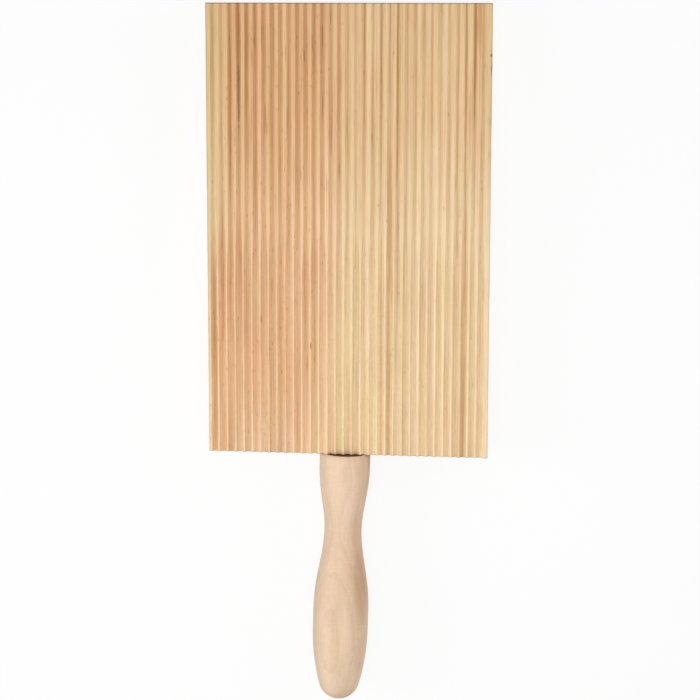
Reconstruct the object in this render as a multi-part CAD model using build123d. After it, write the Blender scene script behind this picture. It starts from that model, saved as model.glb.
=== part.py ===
from build123d import *
import math
import os

# A grooved board for rolling gnocchi. One plank carries a row of round-bottomed grooves along its
# face, and a turned handle stands on its end, held by a fluted dowel glued into both.
# Millimetres and degrees. The origin is the centre of the plank's flat back, +Z points out of the
# grooved face and +Y away from the handle.

# Plank
board_length = 216.5
board_width = 135
board_thickness = 16
board_edge_ease = 0.3
board_end_skew = 1.5

# Grooves, side by side across the plank's face
groove_width = 2.9
groove_wall_height = 0.35
groove_crest_width = 1.1
groove_lip_ease = 0.22
groove_edge_land = 1.5

# Handle, a turned piece with a flat shoulder, a waist, a belly with a straight band and a nose
handle_length = 125.5
handle_sidestep = 1.6
handle_rim_ease = 0.9
handle_shoulder_diameter = 24.7
handle_shoulder_length = 8
handle_waist_diameter = 18.3
handle_waist_at = 39
handle_belly_diameter = 27.3
handle_belly_at = 79.5
handle_belly_length = 10

# The roundness of the nose, as a share of the belly's
nose_radius_share = 0.75

# Dowel, and the two bores that hold it
dowel_diameter = 8
dowel_length = 60
dowel_end_chamfer = 0.8
dowel_flute_count = 8
dowel_flute_diameter = 0.9
dowel_bore_clearance = 0.1
dowel_end_clearance = 1

# How far a cutting shape runs past the wood
cut_overrun = 5

groove_pitch = groove_width + groove_crest_width
groove_depth = groove_width / 2 + groove_wall_height
grooved_width = board_width - 2 * groove_edge_land - groove_width
groove_count = int(grooved_width / groove_pitch) + 1
bore_diameter = dowel_diameter + dowel_bore_clearance
bore_depth = dowel_length / 2 + dowel_end_clearance

# The middle of the sawn end, where the plank is board_length long
end_middle_y = -board_length / 2
skew_slope = math.tan(math.radians(board_end_skew))


def on_handle_axis(shape):
    """Put a shape drawn up the Z axis onto the handle's axis, square to the plank's sawn end."""
    shoulder = (-handle_sidestep, end_middle_y + handle_sidestep * skew_slope, board_thickness / 2)
    stand = Location(shoulder) * Rotation(0, 0, -board_end_skew) * Rotation(90, 0, 0)
    return stand * shape


def plank_blank():
    """The plank before grooving: its far end square, its handle end sawn on the skew."""
    half_width = board_width / 2
    outline = Polyline(
        (-half_width, board_length / 2),
        (half_width, board_length / 2),
        (half_width, end_middle_y - half_width * skew_slope),
        (-half_width, end_middle_y + half_width * skew_slope),
        close=True,
    )
    blank = extrude(make_face(outline), amount=board_thickness)
    return chamfer(blank.edges(), board_edge_ease)


def groove_section():
    """The wood that one groove takes away, seen along the plank, with the lips eased."""
    half_width = groove_width / 2
    lip_reach = half_width + groove_lip_ease
    wall_foot = half_width - groove_depth
    bottom = ThreePointArc((-half_width, wall_foot), (0, -groove_depth), (half_width, wall_foot))
    walls_and_lips = Polyline(
        (half_width, wall_foot),
        (half_width, -groove_lip_ease),
        (lip_reach, 0),
        (lip_reach, cut_overrun),
        (-lip_reach, cut_overrun),
        (-lip_reach, 0),
        (-half_width, -groove_lip_ease),
        (-half_width, wall_foot),
    )
    return make_face([bottom, walls_and_lips])


def groove_cutters():
    """One long cutter for each groove, in a row from the left edge land."""
    run = board_length + board_width * skew_slope + 2 * cut_overrun
    section = Plane.XZ * groove_section()
    cutter = extrude(section, amount=run / 2, both=True)
    first = groove_edge_land + groove_width / 2 - board_width / 2
    return [Pos(first + groove * groove_pitch, 0, board_thickness) * cutter for groove in range(groove_count)]


def ridged_board():
    """The plank with its grooves, and the bore for the dowel in its sawn end."""
    bore = on_handle_axis(Cylinder(bore_diameter / 2, 2 * bore_depth))
    board = plank_blank() - groove_cutters()
    return board - bore


def nose_arcs(belly_end, tip):
    """A long arc off the belly and a smaller one over the nose, in line where they meet."""
    belly_radius = belly_end[0]
    reach = tip[1] - belly_end[1]
    nose_radius = nose_radius_share * belly_radius
    rise = reach - nose_radius
    flank_radius = (belly_radius**2 + rise**2 - nose_radius**2) / (2 * (belly_radius - nose_radius))
    lean = math.atan2(rise, flank_radius - belly_radius)
    meeting = (nose_radius * math.cos(lean), tip[1] - nose_radius + nose_radius * math.sin(lean))
    flank = TangentArc(belly_end, meeting, tangent=(0, 1))
    nose = TangentArc(meeting, tip, tangent=(1, 0), tangent_from_first=False)
    return [flank, nose]


def handle():
    """The turned handle, its shoulder at the bottom, bored for the dowel."""
    shoulder_radius = handle_shoulder_diameter / 2
    belly_radius = handle_belly_diameter / 2
    rim = (shoulder_radius - handle_rim_ease, 0)
    rim_top = (shoulder_radius, handle_rim_ease)
    shoulder = (shoulder_radius, handle_shoulder_length)
    waist = (handle_waist_diameter / 2, handle_waist_at)
    belly_start = (belly_radius, handle_belly_at)
    belly_end = (belly_radius, handle_belly_at + handle_belly_length)
    tip = (0, handle_length)
    along = (0, 1)
    outline = [
        Line((0, 0), rim),
        Line(rim, rim_top),
        Line(rim_top, shoulder),
        Spline(shoulder, waist, belly_start, tangents=[along, along, along]),
        Line(belly_start, belly_end),
        *nose_arcs(belly_end, tip),
        Line(tip, (0, 0)),
    ]
    turned = revolve(Plane.XZ * make_face(outline), Axis.Z)
    bore = Cylinder(bore_diameter / 2, 2 * bore_depth)
    return on_handle_axis(turned - bore)


def handle_dowel():
    """The glued dowel, half in the plank and half in the handle, fluted along its length."""
    dowel = Cylinder(dowel_diameter / 2, dowel_length)
    dowel = chamfer(dowel.edges().filter_by(GeomType.CIRCLE), dowel_end_chamfer)
    flute = Cylinder(dowel_flute_diameter / 2, dowel_length + 2 * cut_overrun)
    flutes = [place * flute for place in PolarLocations(dowel_diameter / 2, dowel_flute_count)]
    return on_handle_axis(dowel - flutes)


def write_parts():
    """Write each piece as its own file."""
    os.makedirs("parts", exist_ok=True)
    for piece in (ridged_board, handle, handle_dowel):
        export_step(piece(), f"parts/{piece.__name__}.step")


write_parts()
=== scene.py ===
import math

import bmesh
import bpy
from mathutils import Matrix, Vector, noise


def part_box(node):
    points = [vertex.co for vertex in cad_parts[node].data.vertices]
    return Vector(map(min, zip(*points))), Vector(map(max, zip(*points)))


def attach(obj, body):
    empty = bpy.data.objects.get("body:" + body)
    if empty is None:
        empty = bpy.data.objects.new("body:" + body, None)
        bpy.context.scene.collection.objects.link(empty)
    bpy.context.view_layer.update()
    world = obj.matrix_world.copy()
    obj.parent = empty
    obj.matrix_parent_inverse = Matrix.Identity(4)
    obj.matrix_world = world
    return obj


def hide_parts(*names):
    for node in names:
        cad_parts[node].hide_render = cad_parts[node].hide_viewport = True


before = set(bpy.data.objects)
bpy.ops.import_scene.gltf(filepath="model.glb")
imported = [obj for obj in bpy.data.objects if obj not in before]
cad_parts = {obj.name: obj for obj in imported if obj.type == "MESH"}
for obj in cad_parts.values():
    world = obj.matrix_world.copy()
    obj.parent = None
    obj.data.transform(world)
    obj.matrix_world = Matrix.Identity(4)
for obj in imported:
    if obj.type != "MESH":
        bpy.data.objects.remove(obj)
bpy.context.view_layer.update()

# A grooved gnocchi board and its turned handle. Metres, with the origin at the centre of the
# plank's flat back, +Z out of the grooved face and +Y away from the handle.
MM = 0.001
quarter_turn = math.radians(90)
merge_distance = 0.002 * MM

# Plank
plank_low, plank_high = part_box("ridged_board")
plank_width = plank_high[0] - plank_low[0]
plank_thickness = plank_high[2] - plank_low[2]
plank_length = 216.5 * MM
plank_far_end = plank_high[1]
plank_end_middle = plank_far_end - plank_length
plank_end_skew = math.radians(1.5)
plank_edge_ease = 0.3 * MM

# Grooves
groove_width = 2.9 * MM
groove_wall = 0.35 * MM
groove_crest = 1.1 * MM
groove_lip = 0.22 * MM
groove_land = 1.5 * MM
groove_count = 33
groove_pitch = groove_width + groove_crest
groove_depth = groove_width / 2 + groove_wall

# Handle
handle_length = 125.5 * MM
handle_sidestep = 1.6 * MM
handle_rim_ease = 0.9 * MM
shoulder_radius = 12.35 * MM
shoulder_length = 8 * MM
waist_radius = 9.15 * MM
waist_at = 39 * MM
belly_radius = 13.65 * MM
belly_at = 79.5 * MM
belly_length = 10 * MM
nose_radius = 0.75 * belly_radius

# How fast the handle's smooth outline runs along the axis there, against an even pace
shoulder_pace = 1.2
waist_pace = 1.01
belly_pace = 1.23

# Dowel bores
bore_radius = 4.05 * MM
bore_depth = 31 * MM


def handle_place():
    """The handle's axis: its shoulder on the sawn end, its length square to that end."""
    shoulder = Vector((
        -handle_sidestep,
        plank_end_middle + handle_sidestep * math.tan(plank_end_skew),
        plank_thickness / 2,
    ))
    turn = Matrix.Rotation(-plank_end_skew, 4, "Z") @ Matrix.Rotation(quarter_turn, 4, "X")
    return Matrix.Translation(shoulder) @ turn


# A pen that draws an outline in the XZ plane, one edge or arc at a time

def verts_in(parts):
    """The vertices among some parts of a mesh."""
    return [part for part in parts if isinstance(part, bmesh.types.BMVert)]


def pen_line(bm, vert, right, up):
    """Draw a straight edge from a vertex and return its new end."""
    tip = bmesh.ops.extrude_vert_indiv(bm, verts=[vert])["verts"][0]
    tip.co += Vector((right, 0, up))
    return tip


def pen_band(bm, vert, up, steps):
    """Draw a straight run upwards in even steps and return its new end."""
    for step in range(steps):
        vert = pen_line(bm, vert, 0, up / steps)
    return vert


def pen_arc(bm, vert, right, up, turn, steps):
    """Draw an arc from a vertex about a centre given from that vertex, and return its new end."""
    centre = vert.co + Vector((right, 0, up))
    turned = bmesh.ops.spin(
        bm, geom=[vert], cent=centre, axis=(0, 1, 0), angle=turn, steps=steps
    )
    return verts_in(turned["geom_last"])[0]


def finish_mesh(bm, name, crease):
    """Merge the mesh's doubles, turn its faces outwards and smooth it between its creases."""
    bmesh.ops.remove_doubles(bm, verts=bm.verts, dist=merge_distance)
    bmesh.ops.recalc_face_normals(bm, faces=bm.faces)
    mesh = bpy.data.meshes.new(name)
    bm.to_mesh(mesh)
    bm.free()
    mesh.shade_smooth()
    mesh.set_sharp_from_angle(angle=crease)
    piece = bpy.data.objects.new(name, mesh)
    bpy.context.collection.objects.link(piece)
    return piece


# The plank

# The spin lays the section's copies this far apart, and each then moves to its row's place
sweep_step = MM

# Uneven steps from one seed's line of noise to the next one's, across and upwards
seed_step_across = 7.31
seed_step_up = 3.17

# Where each random line of a groove or crest has its seeds
crest_waver_seed = 0
crest_ripple_seed = 50
crest_wear_seed = 100
crest_chip_seed = 200
groove_depth_seed = 300
milling_change_seed = 400
groove_width_seed = 500


def draw_groove(bm, vert):
    """One groove: lip, wall, round bottom, wall, lip."""
    lip_steps = 3
    bottom_steps = 9
    vert = pen_arc(bm, vert, 0, -groove_lip, quarter_turn, lip_steps)
    vert = pen_line(bm, vert, 0, groove_lip - groove_wall)
    vert = pen_arc(bm, vert, groove_width / 2, 0, -2 * quarter_turn, bottom_steps)
    vert = pen_line(bm, vert, 0, groove_wall - groove_lip)
    return pen_arc(bm, vert, groove_lip, 0, quarter_turn, lip_steps)


def draw_plank_section(bm):
    """The plank's section, drawn once round from its top left corner."""
    corner_steps = 2
    edge = plank_edge_ease
    side = plank_thickness - 2 * edge
    vert = bm.verts.new((-plank_width / 2 + edge, 0, plank_thickness))
    vert = pen_line(bm, vert, groove_land - edge - groove_lip, 0)
    for groove in range(groove_count):
        vert = draw_groove(bm, vert)
        if groove < groove_count - 1:
            vert = pen_line(bm, vert, groove_crest - 2 * groove_lip, 0)
    vert = pen_line(bm, vert, plank_width / 2 - edge - vert.co.x, 0)
    vert = pen_arc(bm, vert, 0, -edge, quarter_turn, corner_steps)
    vert = pen_line(bm, vert, 0, -side)
    vert = pen_arc(bm, vert, -edge, 0, quarter_turn, corner_steps)
    vert = pen_line(bm, vert, 2 * edge - plank_width, 0)
    vert = pen_arc(bm, vert, 0, edge, quarter_turn, corner_steps)
    vert = pen_line(bm, vert, 0, side)
    pen_arc(bm, vert, edge, 0, quarter_turn, corner_steps)
    bmesh.ops.remove_doubles(bm, verts=bm.verts, dist=merge_distance)


def row_places():
    """How far along the plank each row of the sweep lies: close together near both ends."""
    near_end = [0, 0.05, 0.15, 0.3, 0.7, 1.4, 2.4]
    spacing = 1.75 * MM
    start = [place * MM for place in near_end]
    run = plank_length - 2 * start[-1]
    count = round(run / spacing)
    middle = [start[-1] + run * step / count for step in range(1, count)]
    return start + middle + [plank_length - place for place in reversed(start)]


def wander(seed, along, scale):
    """A smooth random number from about -1 to 1 that changes slowly along the plank."""
    return noise.noise(Vector((seed * seed_step_across, along / scale, seed * seed_step_up)))


def within(value, low, high):
    """A value held between two limits."""
    return min(max(value, low), high)


def groove_run(groove, along):
    """How a groove was milled here: its shares of full width and depth, and its drift sideways.

    It is narrower and shallower over the plank's far half. Near the left edge it drifts to the
    right there.
    """
    change_at = 101 * MM
    change_spread = 9 * MM
    change_run = 8 * MM
    depth_lost = 0.42
    unevenness = 0.02
    most_drift = 0.45 * MM
    spread = change_spread * wander(groove + milling_change_seed, 0, 1)
    far_share = 0.5 + 0.5 * math.tanh((along - change_at - spread) / change_run)

    # A groove is a little wider towards the left, but the first one isn't
    to_left = 1 - groove / groove_count
    near_width = 1.04 + 0.1 * to_left if groove > 0 else 1.0
    far_width = 0.80 + 0.04 * to_left
    uneven = unevenness * wander(groove + groove_width_seed, along, 12 * MM)
    width = near_width + far_share * (far_width - near_width) + uneven

    # The drift begins left of the middle, 80 mm along, and is full 110 mm further
    left_share = within((to_left - 0.55) / 0.3, 0, 1)
    far_run = within((along - 80 * MM) / (110 * MM), 0, 1)
    return width, 1 - depth_lost * far_share, most_drift * left_share * far_run


def worn_place(place, along):
    """Where a point of the grooved face lies after milling and use: crests waver and are worn."""
    waver, ripple, wear, chip_size, dip = 0.13 * MM, 0.05 * MM, 0.10 * MM, 0.9 * MM, 0.08 * MM
    chip_threshold = 0.42
    below_grooves = 1.01 * groove_depth
    depth = plank_thickness - place.z
    if depth > below_grooves:
        return place
    across = (place.x + plank_width / 2 - groove_land + groove_crest / 2) / groove_pitch
    crest = round(across)
    groove = math.floor(across)
    if 0 <= groove < groove_count:
        width, height, drift = groove_run(groove, along)
        middle = groove_land + groove_width / 2 + groove * groove_pitch - plank_width / 2
        x = middle + (place.x - middle) * width + drift
        place = Vector((x, place.y, plank_thickness - depth * height))
    near_crest = max(0.0, 1 - depth / groove_depth)
    shift = waver * wander(crest + crest_waver_seed, along, 22 * MM)
    shift += ripple * wander(crest + crest_ripple_seed, along, 5 * MM)
    worn = wear * (0.5 + 0.5 * wander(crest + crest_wear_seed, along, 9 * MM))
    chip = wander(crest + crest_chip_seed, along, 3.2 * MM) - chip_threshold
    worn += chip_size * max(0.0, chip)
    deeper = dip * wander(groove + groove_depth_seed, along, 30 * MM) * (1 - near_crest)
    return place + Vector((shift * near_crest, 0, -(worn * near_crest + deeper)))


def round_over(to_end, radius):
    """How far a rounded edge has drawn in, this near an end."""
    if to_end >= radius:
        return 0
    return radius - math.sqrt(radius**2 - (radius - to_end) ** 2)


def shape_plank(bm, rows):
    """Move each row of the sweep to its place, with its wear, the eased ends and the sawn end."""
    for vert in bm.verts:
        along = rows[round(vert.co.y / sweep_step)]
        to_end = min(along, rows[-1] - along)
        ease = round_over(to_end, plank_edge_ease)
        half_width = plank_width / 2 - ease
        place = worn_place(vert.co, along)
        place.x = within(place.x, -half_width, half_width)
        place.z = within(place.z, ease, plank_thickness - ease)
        sawn_end = plank_end_middle - place.x * math.tan(plank_end_skew)
        place.y = sawn_end + (plank_far_end - sawn_end) * along / rows[-1]
        vert.co = place
    bmesh.ops.remove_doubles(bm, verts=bm.verts, dist=merge_distance)


def close_ends(bm):
    """Close both ends of the plank, leaving the dowel bore open in the sawn end."""
    bore_steps = 32
    rims = [edge for edge in bm.edges if edge.is_boundary]
    near_rim = [edge for edge in rims if edge.verts[0].co.y < 0]
    far_rim = [edge for edge in rims if edge.verts[0].co.y > 0]
    circle = bmesh.ops.create_circle(
        bm, segments=bore_steps, radius=bore_radius, matrix=handle_place(), cap_ends=False
    )
    mouth_edges = [edge for vert in circle["verts"] for edge in vert.link_edges]
    mouth = list(dict.fromkeys(mouth_edges))
    bmesh.ops.triangle_fill(bm, use_beauty=True, use_dissolve=False, edges=far_rim)
    bmesh.ops.triangle_fill(bm, use_beauty=True, use_dissolve=False, edges=near_rim + mouth)
    floor = verts_in(bmesh.ops.extrude_edge_only(bm, edges=mouth)["geom"])
    inwards = handle_place().to_3x3() @ Vector((0, 0, -bore_depth))
    bmesh.ops.translate(bm, verts=floor, vec=inwards)
    bmesh.ops.contextual_create(bm, geom=floor)


def grooved_plank():
    """The plank: its section swept along its length, row by row."""
    crease = math.radians(32)
    bm = bmesh.new()
    draw_plank_section(bm)
    rows = row_places()
    section = list(bm.verts) + list(bm.edges)
    bmesh.ops.spin(
        bm, geom=section, cent=(0, 0, 0), axis=(0, 1, 0), dvec=(0, sweep_step, 0), angle=0,
        steps=len(rows) - 1,
    )
    shape_plank(bm, rows)
    close_ends(bm)
    return finish_mesh(bm, "grooved_plank", crease)


# The handle

def pen_swell(bm, vert, radius, height, leaving_pace, closing_pace):
    """Draw a smooth swell or taper that leaves and ends along the handle's axis."""
    start = vert.co.copy()
    outwards = radius - start.x
    along = height - start.z
    steps = 22
    for step in range(1, steps + 1):
        share = step / steps
        rest = 1 - share
        eased = share**2 * (3 - 2 * share)
        run = eased + leaving_pace * share * rest**2 - closing_pace * share**2 * rest
        place = start + Vector((eased * outwards, 0, run * along))
        vert = pen_line(bm, vert, place.x - vert.co.x, place.z - vert.co.z)
    return vert


def draw_handle_outline(bm):
    """Half the handle's section, from the bottom of its bore, over the shoulder, to the nose."""
    shoulder_steps = 4
    belly_steps = 3
    nose_steps = 12
    vert = bm.verts.new((0, 0, bore_depth))
    vert = pen_line(bm, vert, bore_radius, 0)
    vert = pen_line(bm, vert, 0, -bore_depth)
    vert = pen_line(bm, vert, shoulder_radius - handle_rim_ease - bore_radius, 0)
    vert = pen_line(bm, vert, handle_rim_ease, handle_rim_ease)
    vert = pen_band(bm, vert, shoulder_length - handle_rim_ease, shoulder_steps)
    vert = pen_swell(bm, vert, waist_radius, waist_at, shoulder_pace, waist_pace)
    vert = pen_swell(bm, vert, belly_radius, belly_at, waist_pace, belly_pace)
    vert = pen_band(bm, vert, belly_length, belly_steps)
    rise = handle_length - belly_at - belly_length - nose_radius
    flank_radius = (belly_radius**2 + rise**2 - nose_radius**2) / (2 * (belly_radius - nose_radius))
    lean = math.atan2(rise, flank_radius - belly_radius)
    vert = pen_arc(bm, vert, -flank_radius, 0, -lean, nose_steps)
    nose_centre = handle_length - nose_radius
    pen_arc(bm, vert, -vert.co.x, nose_centre - vert.co.z, lean - quarter_turn, nose_steps)


def turned_handle():
    """The handle, turned from its outline, with its blind bore for the dowel."""
    crease = math.radians(40)
    turning_steps = 96
    bm = bmesh.new()
    draw_handle_outline(bm)
    bmesh.ops.spin(
        bm, geom=list(bm.verts) + list(bm.edges), cent=(0, 0, 0), axis=(0, 0, 1),
        angle=4 * quarter_turn, steps=turning_steps, use_merge=True,
    )
    bmesh.ops.transform(bm, matrix=handle_place(), verts=bm.verts)
    return finish_mesh(bm, "turned_handle", crease)


# Nodes and colours

NUMBER = "NodeSocketFloat"
VECTOR = "NodeSocketVector"

# The Mix node's sockets for colours come after those for numbers and vectors
mix_under = 6
mix_over = 7
mix_result = 2


def linear(level):
    """One channel of a colour as seen, 0 to 255, as a linear value."""
    share = level / 255
    return share / 12.92 if share <= 0.04045 else ((share + 0.055) / 1.055) ** 2.4


def seen(red, green, blue):
    """A colour as the eye reads it."""
    return (linear(red), linear(green), linear(blue), 1)


def feed(tree, socket, source):
    """Give a socket a value, or wire it to another node's output."""
    if isinstance(source, bpy.types.NodeSocket):
        tree.links.new(source, socket)
    else:
        socket.default_value = source


def calc(tree, operation, *sources):
    """A Math node on numbers or outputs."""
    node = tree.nodes.new("ShaderNodeMath")
    node.operation = operation
    for socket, source in zip(node.inputs, sources):
        feed(tree, socket, source)
    return node.outputs[0]


def times(tree, first, second):
    """One number times another."""
    return calc(tree, "MULTIPLY", first, second)


def plus(tree, first, second):
    """One number added to another."""
    return calc(tree, "ADD", first, second)


def minus(tree, first, second):
    """One number less another."""
    return calc(tree, "SUBTRACT", first, second)


def size_of(tree, value):
    """A number without its sign."""
    return calc(tree, "ABSOLUTE", value)


def vector_calc(tree, operation, *sources):
    """A Vector Math node on vectors or outputs."""
    node = tree.nodes.new("ShaderNodeVectorMath")
    node.operation = operation
    for socket, source in zip(node.inputs, sources):
        feed(tree, socket, source)
    return node.outputs["Value" if operation in ("DOT_PRODUCT", "LENGTH") else "Vector"]


def ramp(tree, value, low, high, at_low=0.0, at_high=1.0):
    """Ease a value from one level to another as it passes between two limits."""
    node = tree.nodes.new("ShaderNodeMapRange")
    node.interpolation_type = "SMOOTHSTEP"
    sources = {
        "Value": value, "From Min": low, "From Max": high, "To Min": at_low, "To Max": at_high
    }
    for name, source in sources.items():
        feed(tree, node.inputs[name], source)
    return node.outputs["Result"]


def fade(tree, value, low, high, at_low=1.0):
    """Ease a value down to nothing as it passes between two limits."""
    return ramp(tree, value, low, high, at_low, 0.0)


def blend(tree, share, under, over, way="MIX"):
    """Mix two colours."""
    node = tree.nodes.new("ShaderNodeMix")
    node.data_type = "RGBA"
    node.blend_type = way
    feed(tree, node.inputs["Factor"], share)
    feed(tree, node.inputs[mix_under], under)
    feed(tree, node.inputs[mix_over], over)
    return node.outputs[mix_result]


def darken(tree, colour, shade, share, strength=1.0):
    """Darken a colour by a share of a shade."""
    if strength != 1.0:
        share = times(tree, share, strength)
    return blend(tree, share, colour, shade, "MULTIPLY")


def split(tree, position):
    """The three parts of a position."""
    node = tree.nodes.new("ShaderNodeSeparateXYZ")
    feed(tree, node.inputs[0], position)
    return node.outputs


def object_position(tree):
    """Where a point of the piece lies, in metres."""
    return tree.nodes.new("ShaderNodeTexCoord").outputs["Object"]


def object_facing(tree):
    """Which way the surface looks at a point."""
    return tree.nodes.new("ShaderNodeTexCoord").outputs["Normal"]


def stretched(tree, position, across, along):
    """A position measured in steps across and along the grain, which runs along Y."""
    steps = tree.nodes.new("ShaderNodeCombineXYZ")
    for socket, source in zip(steps.inputs, (across, along, across)):
        feed(tree, socket, source)
    return vector_calc(tree, "DIVIDE", position, steps.outputs[0])


def cloud(tree, position, detail, roughness=0.5):
    """Soft noise on an already stretched position, about 0.5 in the middle."""
    node = tree.nodes.new("ShaderNodeTexNoise")
    node.inputs["Scale"].default_value = 1
    node.inputs["Detail"].default_value = detail
    node.inputs["Roughness"].default_value = roughness
    feed(tree, node.inputs["Vector"], position)
    return node.outputs["Fac"]


def streaky_cloud(tree, position, across, along, detail, roughness=0.5):
    """Soft noise stretched along the grain, or across it where along is the smaller step."""
    return cloud(tree, stretched(tree, position, across, along), detail, roughness)


def new_group(name, inputs, outputs):
    """A node group with named inputs and outputs: the tree, its input sockets, its output node."""
    tree = bpy.data.node_groups.new(name, "ShaderNodeTree")
    for socket_name, kind in inputs:
        tree.interface.new_socket(socket_name, in_out="INPUT", socket_type=kind)
    for socket_name, kind in outputs:
        tree.interface.new_socket(socket_name, in_out="OUTPUT", socket_type=kind)
    group_input = tree.nodes.new("NodeGroupInput")
    group_output = tree.nodes.new("NodeGroupOutput")
    return tree, group_input.outputs, group_output.inputs


def use_group(tree, group, **sources):
    """Place a group in a tree and feed its inputs: words in a name are joined by underscores."""
    node = tree.nodes.new("ShaderNodeGroup")
    node.node_tree = group
    for name, source in sources.items():
        feed(tree, node.inputs[name.replace("_", " ").capitalize()], source)
    return node.outputs[0]


# The effects of wood that the materials share

def growth_rings_group():
    """How far a point of the wood lay from the tree's pith, which leans and waves."""
    tree, inputs, outputs = new_group(
        "growth_rings",
        [
            ("Position", VECTOR), ("Pith x", NUMBER), ("Pith z", NUMBER), ("Lean", NUMBER),
            ("Taper", NUMBER), ("Waver", NUMBER),
        ],
        [("Radius", NUMBER)],
    )
    x, y, z = split(tree, inputs["Position"])
    pith_x = plus(tree, inputs["Pith x"], times(tree, y, inputs["Lean"]))
    across = calc(tree, "POWER", minus(tree, x, pith_x), 2)
    down = calc(tree, "POWER", minus(tree, z, inputs["Pith z"]), 2)
    from_pith = calc(tree, "SQRT", plus(tree, across, down))
    radius = minus(tree, from_pith, times(tree, y, inputs["Taper"]))
    waver = minus(tree, streaky_cloud(tree, inputs["Position"], 26 * MM, 110 * MM, 3), 0.5)
    feed(tree, outputs["Radius"], plus(tree, radius, times(tree, waver, inputs["Waver"])))
    return tree


def ring_band_group():
    """A single dark growth ring, stronger and weaker along the grain."""
    tree, inputs, outputs = new_group(
        "ring_band",
        [("Position", VECTOR), ("Radius", NUMBER), ("Middle", NUMBER), ("Width", NUMBER)],
        [("Mask", NUMBER)],
    )
    away = size_of(tree, minus(tree, inputs["Radius"], inputs["Middle"]))
    band = fade(tree, calc(tree, "DIVIDE", away, inputs["Width"]), 0.0, 1.0)
    uneven = streaky_cloud(tree, inputs["Position"], 9 * MM, 45 * MM, 3)
    feed(tree, outputs["Mask"], times(tree, band, ramp(tree, uneven, 0.3, 0.7, 0.35, 1.0)))
    return tree


def year_lines_group():
    """The fine line at the start of each year's growth."""
    tree, inputs, outputs = new_group(
        "year_lines",
        [("Position", VECTOR), ("Radius", NUMBER), ("Spacing", NUMBER)],
        [("Mask", NUMBER)],
    )
    most_uneven = 1.6
    line_sharpness = 3.0
    years = calc(tree, "DIVIDE", inputs["Radius"], inputs["Spacing"])
    uneven = streaky_cloud(tree, inputs["Position"], 16 * MM, 400 * MM, 2)
    year = calc(tree, "FRACT", plus(tree, years, times(tree, uneven, most_uneven)))
    line = calc(tree, "POWER", minus(tree, 1.0, year), line_sharpness)
    feed(tree, outputs["Mask"], line)
    return tree


def fibre_group():
    """Long fine streaks along the grain."""
    tree, inputs, outputs = new_group(
        "fibre",
        [("Position", VECTOR), ("Across", NUMBER), ("Along", NUMBER)],
        [("Streaks", NUMBER)],
    )
    streaks = streaky_cloud(
        tree, inputs["Position"], inputs["Across"], inputs["Along"], detail=3.5, roughness=0.6
    )
    feed(tree, outputs["Streaks"], streaks)
    return tree


def dashes_group():
    """Short dark dashes along the grain: open pores or ray ends, in a share of the places."""
    tree, inputs, outputs = new_group(
        "dashes",
        [
            ("Position", VECTOR), ("Across", NUMBER), ("Along", NUMBER), ("Size", NUMBER),
            ("Share", NUMBER),
        ],
        [("Mask", NUMBER)],
    )
    place = stretched(tree, inputs["Position"], inputs["Across"], inputs["Along"])
    cells = tree.nodes.new("ShaderNodeTexVoronoi")
    cells.inputs["Scale"].default_value = 1
    feed(tree, cells.inputs["Vector"], place)
    reach = calc(tree, "DIVIDE", cells.outputs["Distance"], inputs["Size"])
    dash = fade(tree, reach, 0.4, 1.0)
    pick = split(tree, cells.outputs["Color"])[0]
    kept = calc(tree, "LESS_THAN", pick, inputs["Share"])
    feed(tree, outputs["Mask"], times(tree, dash, kept))
    return tree


def mark_group():
    """One stain, dark line or nick: a soft oval with ragged edges about a place."""
    tree, inputs, outputs = new_group(
        "mark",
        [("Position", VECTOR), ("Place", VECTOR), ("Reach", VECTOR), ("Raggedness", NUMBER)],
        [("Mask", NUMBER)],
    )
    away = vector_calc(tree, "SUBTRACT", inputs["Position"], inputs["Place"])
    away = vector_calc(tree, "DIVIDE", away, inputs["Reach"])
    ragged = plus(tree, vector_calc(tree, "LENGTH", away), inputs["Raggedness"])
    feed(tree, outputs["Mask"], fade(tree, ragged, 0.45, 0.9))
    return tree


def groove_tone_group():
    """How much stronger or weaker a groove's painted shade is than its neighbours', changing slowly
    along it.
    """
    tree, inputs, outputs = new_group("groove_tone", [("Position", VECTOR)], [("Share", NUMBER)])
    groove_step = 3.7
    along_step = 60 * MM
    first = groove_land - groove_crest / 2 - plank_width / 2
    x, y = split(tree, inputs["Position"])[:2]
    groove = calc(tree, "FLOOR", calc(tree, "DIVIDE", minus(tree, x, first), groove_pitch))
    place = tree.nodes.new("ShaderNodeCombineXYZ")
    feed(tree, place.inputs[0], times(tree, groove, groove_step))
    feed(tree, place.inputs[1], calc(tree, "DIVIDE", y, along_step))
    feed(tree, outputs["Share"], ramp(tree, cloud(tree, place.outputs[0], 2), 0.3, 0.7))
    return tree


def end_grain_group():
    """How far a face looks along the grain, which shows the cut ends of the fibres."""
    tree, inputs, outputs = new_group("end_grain", [("Facing", VECTOR)], [("Mask", NUMBER)])
    along_grain = size_of(tree, split(tree, inputs["Facing"])[1])
    feed(tree, outputs["Mask"], ramp(tree, along_grain, 0.45, 0.95))
    return tree


def tool_marks_group():
    """Fine ripples across the grain, left by the cutter or the lathe tool."""
    tree, inputs, outputs = new_group(
        "tool_marks",
        [("Position", VECTOR), ("Spacing", NUMBER)],
        [("Height", NUMBER)],
    )
    most_uneven = 9.0
    along = split(tree, inputs["Position"])[1]
    uneven = streaky_cloud(tree, inputs["Position"], 60 * MM, 6 * MM, 2)
    turns = times(tree, calc(tree, "DIVIDE", along, inputs["Spacing"]), 2 * math.pi)
    ripple = calc(tree, "SINE", plus(tree, turns, times(tree, uneven, most_uneven)))
    feed(tree, outputs["Height"], ripple)
    return tree


growth_rings = growth_rings_group()
ring_band = ring_band_group()
year_lines = year_lines_group()
fibre = fibre_group()
dashes = dashes_group()
mark = mark_group()
groove_tone = groove_tone_group()
end_grain = end_grain_group()
tool_marks = tool_marks_group()


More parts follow.
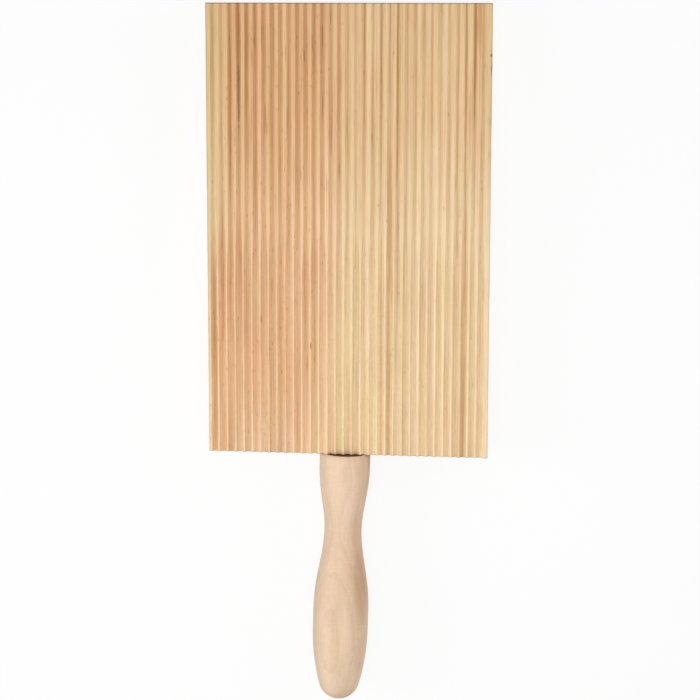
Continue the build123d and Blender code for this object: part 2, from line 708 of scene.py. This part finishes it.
def new_wood(name):
    """A new material: its tree and its shader."""
    material = bpy.data.materials.new(name)
    material.use_nodes = True
    shader = material.node_tree.nodes["Principled BSDF"]
    shader.inputs["IOR"].default_value = 1.45
    shader.inputs["Specular IOR Level"].default_value = 0.35
    return material, material.node_tree, shader


def bump(tree, shader, height, distance, strength):
    """Raise the surface by a height between 0 and 1 times a distance."""
    node = tree.nodes.new("ShaderNodeBump")
    node.inputs["Distance"].default_value = distance
    node.inputs["Strength"].default_value = strength
    feed(tree, node.inputs["Height"], height)
    feed(tree, shader.inputs["Normal"], node.outputs["Normal"])


# The plank's wood

# Dark growth lines where grooves cut into them, each as (x, y, depth below the face), (half
# sizes), strength, in millimetres. The last four are broad bands, only a little darker.
growth_lines = (
    ((-56.3, 66, 1.2), (1.1, 72, 1.8), 0.65),
    ((-52.2, 92, 1.2), (1.0, 36, 1.8), 0.55),
    ((-48.6, 82, 1.2), (0.9, 54, 1.8), 0.45),
    ((-44.2, 98, 1.2), (0.9, 34, 1.8), 0.4),
    ((-60.4, -26, 1.2), (1.2, 44, 1.8), 0.55),
    ((-56.6, -28, 1.2), (0.9, 30, 1.8), 0.3),
    ((-64.3, -62, 1.2), (1.2, 76, 1.8), 0.45),
    ((7.2, 90, 1.2), (0.8, 66, 1.8), 0.45),
    ((11.0, 62, 1.2), (0.6, 44, 1.8), 0.3),
    ((15.2, 70, 1.2), (0.75, 84, 1.8), 0.65),
    ((15.6, -62, 1.2), (0.8, 84, 1.8), 0.5),
    ((19.2, 92, 1.2), (0.8, 46, 1.8), 0.3),
    ((19.5, -2, 1.0), (1.9, 62, 2.2), 0.6),
    ((19.2, -70, 1.2), (1.3, 76, 1.8), 0.6),
    ((22.9, 80, 1.2), (0.9, 80, 1.8), 0.85),
    ((23.4, -10, 1.2), (0.7, 40, 1.8), 0.35),
    ((39.0, 76, 1.2), (0.6, 54, 1.8), 0.35),
    ((51.2, 42, 1.2), (0.8, 44, 1.8), 0.3),
    ((55.2, 78, 1.2), (0.85, 84, 1.8), 0.65),
    ((55.6, -8, 1.2), (0.8, 60, 1.8), 0.45),
    ((55.2, -78, 1.2), (1.5, 70, 1.8), 0.33),
    ((59.4, 92, 1.2), (0.9, 62, 1.8), 0.85),
    ((61.4, 98, 0.6), (1.8, 22, 1.8), 0.6),
    ((-4.5, 38, 0.5), (5, 66, 4), 0.18),
    ((10, 22, 0.5), (9, 50, 4), 0.13),
    ((20, 26, 0.5), (8, 38, 4), 0.14),
    ((62, 56, 0.5), (6, 90, 4), 0.14),
)

# Mineral streaks, pin knots and a nick in the right edge, in the same way
mineral_marks = (
    ((-52.2, 66, 1.2), (0.9, 22, 1.8), 0.55),
    ((-54.0, 48, 1.0), (0.7, 16, 1.6), 0.4),
    ((-44.6, 90, 1.2), (0.5, 4, 1.8), 0.4),
    ((-41.0, 92, 1.2), (0.4, 10, 1.8), 0.4),
    ((-39.8, 54, 1.2), (0.8, 12, 1.8), 0.35),
    ((-29.2, 53, 1.2), (0.6, 12, 1.8), 0.3),
    ((-21.2, 84, 1.2), (0.45, 5, 1.8), 0.6),
    ((-17.4, 90, 1.2), (0.4, 7, 1.8), 0.4),
    ((-12.4, 92, 1.2), (0.4, 9, 1.8), 0.4),
    ((-12.4, 60, 1.2), (0.45, 11, 1.8), 0.4),
    ((-8.6, 102, 1.2), (0.45, 6, 1.8), 0.45),
    ((-8.4, 46, 1.2), (0.45, 14, 1.8), 0.33),
    ((-4.6, 30, 1.2), (0.45, 8, 1.8), 0.33),
    ((10.9, 45, 1.2), (0.4, 4, 1.8), 0.45),
    ((-42.0, -42, 0.9), (0.6, 3, 2.0), 0.5),
    ((-18.2, -55, 0.5), (0.6, 3, 2.0), 0.65),
    ((67.4, 78, 0.3), (0.7, 6, 1.4), 0.9),
    ((67.0, 84, 0.2), (1.0, 0.9, 1.2), 0.9),
)


def heart_and_sap(tree, position, radius):
    """The plain wood, cream sapwood round pinkish heartwood, and the sapwood's share of it."""
    left_sapwood = seen(244, 223, 181)
    right_sapwood = seen(255, 233, 197)
    pink_heartwood = seen(252, 216, 178)
    pale_heartwood = seen(255, 226, 194)
    steepness = 0.8
    lean = 0.012
    left_heart_reach = 7 * MM
    x, y, z = split(tree, position)
    sapwood = blend(tree, ramp(tree, x, -58 * MM, -20 * MM), left_sapwood, right_sapwood)

    # The heartwood reaches further out near the left edge of the plank's near half
    below_face = minus(tree, plank_thickness, z)
    steeper = plus(tree, radius, times(tree, below_face, steepness))
    reach = minus(tree, steeper, times(tree, y, lean))
    near_left = times(tree, fade(tree, x, -50 * MM, -40 * MM), fade(tree, y, -45 * MM, 30 * MM))
    near_left = times(tree, near_left, ramp(tree, x, -65 * MM, -62 * MM, 0.55, 1.0))
    reach = minus(tree, reach, times(tree, near_left, left_heart_reach))
    outside_heart = ramp(tree, reach, 65.5 * MM, 73 * MM)

    # It is paler over the left of the sawn end
    on_left = times(tree, ramp(tree, x, -58 * MM, -50 * MM), fade(tree, x, -32 * MM, -16 * MM))
    bleached = times(tree, on_left, fade(tree, y, -104 * MM, -70 * MM))
    heartwood = blend(tree, bleached, pink_heartwood, pale_heartwood)
    return blend(tree, outside_heart, heartwood, sapwood), outside_heart


def grain(tree, position, radius, colour, shade):
    """The wood's year lines, streaks, tints and fibres, and the fibres' own pattern."""
    pink_tint = (1.0, 0.92, 0.89, 1)
    green_tint = (0.96, 1.0, 0.88, 1)

    # The three dark rings: their radius and width in millimetres, and their strength
    for middle, width, strength in ((74.8, 1.1, 0.3), (84.9, 1.6, 0.3), (110.8, 1.3, 0.4)):
        band = use_group(
            tree, ring_band, position=position, radius=radius, middle=middle * MM,
            width=width * MM,
        )
        colour = darken(tree, colour, shade, band, strength)

    # The years show strongly only in the cut ends
    years = use_group(tree, year_lines, position=position, radius=radius, spacing=3.1 * MM)
    cut_ends = use_group(tree, end_grain, facing=object_facing(tree))
    years_strength = ramp(tree, cut_ends, 0.0, 1.0, 0.08, 0.7)
    colour = darken(tree, colour, shade, times(tree, years, years_strength))

    # Streaks: their steps across and along the grain in millimetres, where they begin and are
    # full, their strength and their tint
    for across, along, low, high, strength, tint in (
        (4.5, 300, 0.4, 0.7, 0.3, shade),
        (1.4, 90, 0.45, 0.75, 0.4, shade),
        (0.8, 70, 0.5, 0.75, 0.4, shade),
        (1.9, 70, 0.45, 0.65, 0.8, pink_tint),
        (2.6, 110, 0.45, 0.65, 0.8, green_tint),
    ):
        streaks = use_group(tree, fibre, position=position, across=across * MM, along=along * MM)
        colour = darken(tree, colour, tint, ramp(tree, streaks, low, high, 0.0, strength))
    fibres = use_group(tree, fibre, position=position, across=0.42 * MM, along=20 * MM)
    return darken(tree, colour, shade, ramp(tree, fibres, 0.42, 0.8, 0.0, 0.45)), fibres


def groove_painted_shade(tree, position, outside_heart):
    """How much painted shade darkens a point of a groove: most in the heartwood of the far half."""
    bottom = plank_thickness - groove_depth
    y, z = split(tree, position)[1:]
    in_groove = fade(tree, z, plank_thickness - 0.6 * MM, plank_thickness - 0.15 * MM)
    on_face = ramp(tree, z, bottom - 0.1 * groove_depth, bottom)
    heart_strength = ramp(tree, y, -50 * MM, 55 * MM, 0.29, 0.43)
    sap_strength = ramp(tree, y, -50 * MM, 80 * MM, 0.11, 0.05)
    strength = ramp(tree, outside_heart, 0.0, 1.0, heart_strength, sap_strength)
    tone = use_group(tree, groove_tone, position=position)
    uneven = plus(tree, times(tree, tone, 0.6), 0.7)
    return times(tree, times(tree, times(tree, in_groove, on_face), strength), uneven)


def painted_edge_shade(tree, position):
    """Painted shade in a thin line along the edges of the grooved face, at both ends and both
    sides.
    """
    x, y, z = split(tree, position)
    slope = math.tan(plank_end_skew)
    to_sawn_end = plus(tree, minus(tree, y, plank_end_middle), times(tree, x, slope))
    to_far_end = minus(tree, plank_far_end, y)
    to_side = minus(tree, plank_width / 2, size_of(tree, x))
    sawn_end = fade(tree, to_sawn_end, 0.15 * MM, 0.6 * MM, 0.4)
    far_end = fade(tree, to_far_end, 0.2 * MM, 0.8 * MM, 0.75)
    sides = fade(tree, to_side, 0.1 * MM, 0.8 * MM, 0.4)
    # The painted shade at the ends and along the sides
    worn = calc(tree, "MAXIMUM", plus(tree, sawn_end, far_end), sides)
    near_face = ramp(tree, z, plank_thickness - 2.5 * MM, plank_thickness - 1.5 * MM)
    return times(tree, worn, near_face)


def marks(tree, position, places, ragged_along):
    """Some dark marks of the grooved face, the strongest wherever they overlap."""
    ragged = streaky_cloud(tree, position, 0.9 * MM, ragged_along, 2)
    raggedness = minus(tree, ragged, 0.5)
    strongest = 0.0
    for (x, y, depth), reach, strength in places:
        place = Vector((x * MM, y * MM, plank_thickness - depth * MM))
        spot = use_group(
            tree, mark, position=position, place=place, reach=Vector(reach) * MM,
            raggedness=raggedness,
        )
        strongest = calc(tree, "MAXIMUM", times(tree, spot, strength), strongest)
    return strongest


def plank_wood():
    """Flat-sawn ash: pinkish heartwood left of the middle, cream sapwood, a few dark rings."""
    material, tree, shader = new_wood("plank_wood")
    brown_shade = (0.70, 0.57, 0.43, 1)
    line_shade = (0.72, 0.52, 0.32, 1)
    red_shade = (0.42, 0.20, 0.09, 1)
    # The colour of the painted shade along the edges of the grooved face
    edge_shade_colour = (0.50, 0.42, 0.34, 1)
    amber_tint = (0.945, 0.865, 0.765, 1)
    pore_strength = 0.6
    check_strength = 0.5
    cut_end_strength = 0.8
    ripple_height = 0.05
    position = object_position(tree)
    radius = use_group(
        tree, growth_rings, position=position, pith_x=-33 * MM, pith_z=-49 * MM, lean=0.025,
        taper=0.0, waver=2.6 * MM,
    )
    colour, outside_heart = heart_and_sap(tree, position, radius)
    colour, fibres = grain(tree, position, radius, colour, brown_shade)

    # Age: the far half has turned amber, and the growth lines are dark. Painted shade darkens the
    # grooves.
    aged = ramp(tree, split(tree, position)[1], -20 * MM, 70 * MM)
    colour = darken(tree, colour, amber_tint, aged)
    colour = darken(tree, colour, brown_shade, groove_painted_shade(tree, position, outside_heart))
    colour = darken(tree, colour, line_shade, marks(tree, position, growth_lines, 20 * MM))

    # Pores and long fine checks, most of them in the heartwood
    heart_share = ramp(tree, outside_heart, 0.0, 1.0, 0.65, 0.1)
    pores = use_group(
        tree, dashes, position=position, across=1.0 * MM, along=8 * MM, size=0.18,
        share=heart_share,
    )
    colour = darken(tree, colour, red_shade, pores, pore_strength)
    checks = use_group(
        tree, dashes, position=position, across=2.3 * MM, along=42 * MM, size=0.15,
        share=heart_share,
    )
    colour = darken(tree, colour, red_shade, checks, check_strength)
    colour = darken(tree, colour, red_shade, marks(tree, position, mineral_marks, 3 * MM))
    # Painted shade in a thin line along the edges of the grooved face
    colour = darken(tree, colour, edge_shade_colour, painted_edge_shade(tree, position))
    cut_ends = use_group(tree, end_grain, facing=object_facing(tree))
    colour = darken(tree, colour, brown_shade, cut_ends, cut_end_strength)
    feed(tree, shader.inputs["Base Color"], colour)
    feed(tree, shader.inputs["Roughness"], ramp(tree, fibres, 0.3, 0.7, 0.52, 0.68))
    ripples = use_group(tree, tool_marks, position=position, spacing=1.4 * MM)
    height = plus(tree, fibres, times(tree, ripples, ripple_height))
    bump(tree, shader, minus(tree, height, pores), distance=0.06 * MM, strength=0.5)
    return material


# The handle's and the dowel's wood

def beech_figure(tree, position, shade):
    """The handle's plain wood: its colour, and its patches, fibres and ray flecks."""
    pale_beech = seen(238, 209, 182)
    deep_beech = seen(228, 200, 170)
    year_strength = 0.22
    fleck_strength = 0.25
    radius = use_group(
        tree, growth_rings, position=position, pith_x=14 * MM, pith_z=-46 * MM, lean=0.0,
        taper=0.05, waver=3 * MM,
    )
    years = use_group(tree, year_lines, position=position, radius=radius, spacing=3.4 * MM)
    fibres = use_group(tree, fibre, position=position, across=0.6 * MM, along=14 * MM)
    patches = use_group(tree, fibre, position=position, across=7 * MM, along=30 * MM)
    scrapes = streaky_cloud(tree, position, 5 * MM, 0.9 * MM, 3)
    flecks = use_group(
        tree, dashes, position=position, across=1.1 * MM, along=3.6 * MM, size=0.26, share=0.5
    )
    colour = blend(tree, ramp(tree, patches, 0.35, 0.7), pale_beech, deep_beech)
    colour = darken(tree, colour, shade, years, year_strength)
    colour = darken(tree, colour, shade, ramp(tree, fibres, 0.4, 0.75, 0.0, 0.22))
    colour = darken(tree, colour, shade, ramp(tree, scrapes, 0.45, 0.8, 0.0, 0.17))
    colour = darken(tree, colour, shade, flecks, fleck_strength)
    return colour, patches, fibres, flecks


def painted_side_shade(tree, position, colour):
    """Painted shade on the handle's sides, by which way they face: greyer on the left and browner
    on the right, which is less so at the nose.
    """
    left_shade_tint = (0.80, 0.83, 0.85, 1)
    right_shade_tint = (0.84, 0.80, 0.765, 1)
    sideways = split(tree, object_facing(tree))[0]
    before_nose = ramp(tree, split(tree, position)[1], -232 * MM, -200 * MM, 0.4, 1.0)
    right_shaded = times(tree, ramp(tree, sideways, 0.2, 0.75), before_nose)
    colour = darken(tree, colour, left_shade_tint, fade(tree, sideways, -1.0, -0.4))
    return darken(tree, colour, right_shade_tint, right_shaded)


def middle_and_shoulder(tree, position, colour, shade):
    """Painted shade and darker figure over the handle's middle, the line round its rim and the dark
    brown on its shoulder face.

    The dark brown's share comes with the colour.
    """
    shoulder_dark_brown = (0.075, 0.024, 0.005, 1)
    shaded_middle = 58 * MM
    rim_line_at = 1.6 * MM
    place = handle_place()
    axis = place.to_3x3() @ Vector((0, 0, 1))
    from_shoulder = vector_calc(tree, "SUBTRACT", position, place.translation)
    along = vector_calc(tree, "DOT_PRODUCT", from_shoulder, axis)
    # Painted shade, with some darker figure, over the handle's middle
    from_shaded_middle = size_of(tree, minus(tree, along, shaded_middle))
    colour = darken(tree, colour, shade, fade(tree, from_shaded_middle, 6 * MM, 32 * MM, 0.3))
    from_rim_line = size_of(tree, minus(tree, along, rim_line_at))
    colour = darken(tree, colour, shade, fade(tree, from_rim_line, 0.0, 0.3 * MM, 0.35))
    # Dark brown over the middle of the shoulder face, where it stands above the plank
    from_middle = size_of(tree, minus(tree, split(tree, position)[0], place.translation.x))
    on_shoulder = fade(tree, along, 0.08 * MM, 0.3 * MM)
    dark_shoulder = times(tree, on_shoulder, fade(tree, from_middle, 8.2 * MM, 9.6 * MM))
    return blend(tree, dark_shoulder, colour, shoulder_dark_brown), dark_shoulder


def handle_wood():
    """Pale turned beech: faint rings, short ray flecks, fine lathe rings, a dark brown shoulder
    face, and painted shade on its sides and middle.
    """
    material, tree, shader = new_wood("handle_wood")
    beech_shade = (0.76, 0.66, 0.55, 1)
    patch_strength = 0.5
    cut_end_strength = 0.4
    ripple_height = 0.2
    fleck_depth = 0.6
    position = object_position(tree)
    colour, patches, fibres, flecks = beech_figure(tree, position, beech_shade)
    brown_patch = use_group(
        tree, mark, position=position, place=Vector((6.5, -172, 17)) * MM,
        reach=Vector((6, 26, 9)) * MM, raggedness=minus(tree, patches, 0.5),
    )
    colour = darken(tree, colour, beech_shade, brown_patch, patch_strength)
    # Painted shade on the handle's left and right sides
    colour = painted_side_shade(tree, position, colour)
    cut_ends = use_group(tree, end_grain, facing=object_facing(tree))
    colour = darken(tree, colour, beech_shade, cut_ends, cut_end_strength)
    colour, dark_shoulder = middle_and_shoulder(tree, position, colour, beech_shade)
    feed(tree, shader.inputs["Base Color"], colour)
    roughness = calc(tree, "MAXIMUM", ramp(tree, patches, 0.3, 0.7, 0.5, 0.62), dark_shoulder)
    feed(tree, shader.inputs["Roughness"], roughness)
    ripples = use_group(tree, tool_marks, position=position, spacing=0.9 * MM)
    height = plus(tree, fibres, times(tree, ripples, ripple_height))
    height = minus(tree, height, times(tree, flecks, fleck_depth))
    bump(tree, shader, height, distance=0.04 * MM, strength=0.4)
    return material


def dowel_wood():
    """Plain compressed beech, for the hidden dowel."""
    material, tree, shader = new_wood("dowel_wood")
    pale_beech = seen(226, 190, 146)
    deep_beech = seen(206, 166, 122)
    fleck_brown = seen(160, 116, 80)
    cut_end_brown = seen(170, 126, 88)
    fleck_strength = 0.4
    cut_end_strength = 0.5
    position = object_position(tree)
    streaks = use_group(tree, fibre, position=position, across=0.5 * MM, along=12 * MM)
    flecks = use_group(
        tree, dashes, position=position, across=0.9 * MM, along=3.2 * MM, size=0.2, share=0.5
    )
    cut_ends = use_group(tree, end_grain, facing=object_facing(tree))
    colour = blend(tree, ramp(tree, streaks, 0.3, 0.7), pale_beech, deep_beech)
    colour = blend(tree, times(tree, flecks, fleck_strength), colour, fleck_brown)
    colour = blend(tree, times(tree, cut_ends, cut_end_strength), colour, cut_end_brown)
    feed(tree, shader.inputs["Base Color"], colour)
    feed(tree, shader.inputs["Roughness"], ramp(tree, streaks, 0.3, 0.7, 0.55, 0.7))
    bump(tree, shader, streaks, distance=0.04 * MM, strength=0.4)
    return material


# Pieces

plank = grooved_plank()
plank.data.materials.append(plank_wood())
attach(plank, "root")
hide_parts("ridged_board")

handle = turned_handle()
handle.data.materials.append(handle_wood())
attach(handle, "root")
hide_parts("handle")

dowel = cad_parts["handle_dowel"]
dowel.material_slots[0].material = dowel_wood()


# Floor, light and camera

def seen_directly(tree):
    """1 where the camera, a reflection or a view through glass looks at a surface."""
    path = tree.nodes.new("ShaderNodeLightPath").outputs
    through = calc(tree, "MAXIMUM", path["Is Glossy Ray"], path["Is Transmission Ray"])
    return calc(tree, "MAXIMUM", path["Is Camera Ray"], through)


def mostly_white(tree, surface, share):
    """Show a surface as white where it is seen, but for the share that carries its shadows."""
    glow = tree.nodes.new("ShaderNodeEmission")
    glow.inputs["Strength"].default_value = 1
    mixed = tree.nodes.new("ShaderNodeMixShader")
    feed(tree, mixed.inputs[0], times(tree, seen_directly(tree), 1 - share))
    feed(tree, mixed.inputs[1], surface)
    feed(tree, mixed.inputs[2], glow.outputs[0])
    return mixed.outputs[0]


def pale_floor():
    """A plain floor just under the belly and the plank's far back edge, tipped to suit both."""
    floor_reach = 3
    belly_clearance = 0.1 * MM
    facet_clearance = 0.3 * MM
    shadow_share = 0.12
    axis = handle_place().to_3x3() @ Vector((0, 0, 1))
    belly = handle_place().translation + (belly_at + belly_length / 2) * axis
    below_belly = belly.z - belly_radius - belly_clearance
    slope = math.atan2(-below_belly, plank_far_end - belly.y)
    foot = (0, belly.y, below_belly - facet_clearance)
    bm = bmesh.new()
    bmesh.ops.create_grid(bm, x_segments=1, y_segments=1, size=floor_reach)
    bmesh.ops.rotate(
        bm, verts=bm.verts, cent=(0, 0, 0), matrix=Matrix.Rotation(slope, 3, "X")
    )
    bmesh.ops.translate(bm, verts=bm.verts, vec=foot)
    mesh = bpy.data.meshes.new("pale_floor")
    bm.to_mesh(mesh)
    bm.free()
    floor = bpy.data.objects.new("pale_floor", mesh)
    bpy.context.collection.objects.link(floor)
    material = bpy.data.materials.new("pale_floor")
    material.use_nodes = True
    tree = material.node_tree
    shader = tree.nodes["Principled BSDF"]
    shader.inputs["Base Color"].default_value = (0.95, 0.95, 0.95, 1)
    shader.inputs["Roughness"].default_value = 0.9
    output = tree.nodes["Material Output"].inputs["Surface"]
    feed(tree, output, mostly_white(tree, shader.outputs[0], shadow_share))
    mesh.materials.append(material)


def lamp(name, place, aim, size, watts):
    """A square soft lamp that faces a point and stays out of the picture."""
    light = bpy.data.lights.new(name, "AREA")
    light.shape = "SQUARE"
    light.size = size
    light.energy = watts
    holder = bpy.data.objects.new(name, light)
    bpy.context.collection.objects.link(holder)
    holder.location = place
    holder.rotation_euler = (Vector(aim) - Vector(place)).to_track_quat("-Z", "Y").to_euler()
    holder.visible_camera = False


def studio():
    """Even light from all round, a soft lamp over the handle and one low on either side."""
    even_light = 0.38
    scene = bpy.context.scene
    scene.view_settings.view_transform = "Standard"
    world = bpy.data.worlds.new("studio")
    world.use_nodes = True
    scene.world = world
    tree = world.node_tree
    background = tree.nodes["Background"]
    background.inputs["Color"].default_value = (1, 1, 1, 1)
    brightness = calc(tree, "MAXIMUM", seen_directly(tree), even_light)
    feed(tree, background.inputs["Strength"], brightness)
    lamp("overhead_lamp", (-0.04, -0.15, 0.43), (-0.03, -0.15, 0), size=0.3, watts=0.78)
    lamp("left_lamp", (-0.9, -0.08, 0.4), (0, -0.07, 0), size=0.5, watts=4.0)
    lamp("right_lamp", (0.9, 0.25, 0.35), (0, 0.05, 0), size=0.5, watts=3.2)


def photo_camera():
    """The camera: above the far end, tipped a little towards the handle."""
    camera = bpy.data.cameras.new("photo_camera")
    camera.sensor_width = 36
    camera.lens = 108
    holder = bpy.data.objects.new("photo_camera", camera)
    bpy.context.collection.objects.link(holder)
    holder.location = Vector((0.4, 109.4, 1013.0)) * MM
    holder.rotation_euler = (math.radians(-9.455), 0, math.radians(0.09))
    bpy.context.scene.camera = holder


pale_floor()
studio()
photo_camera()
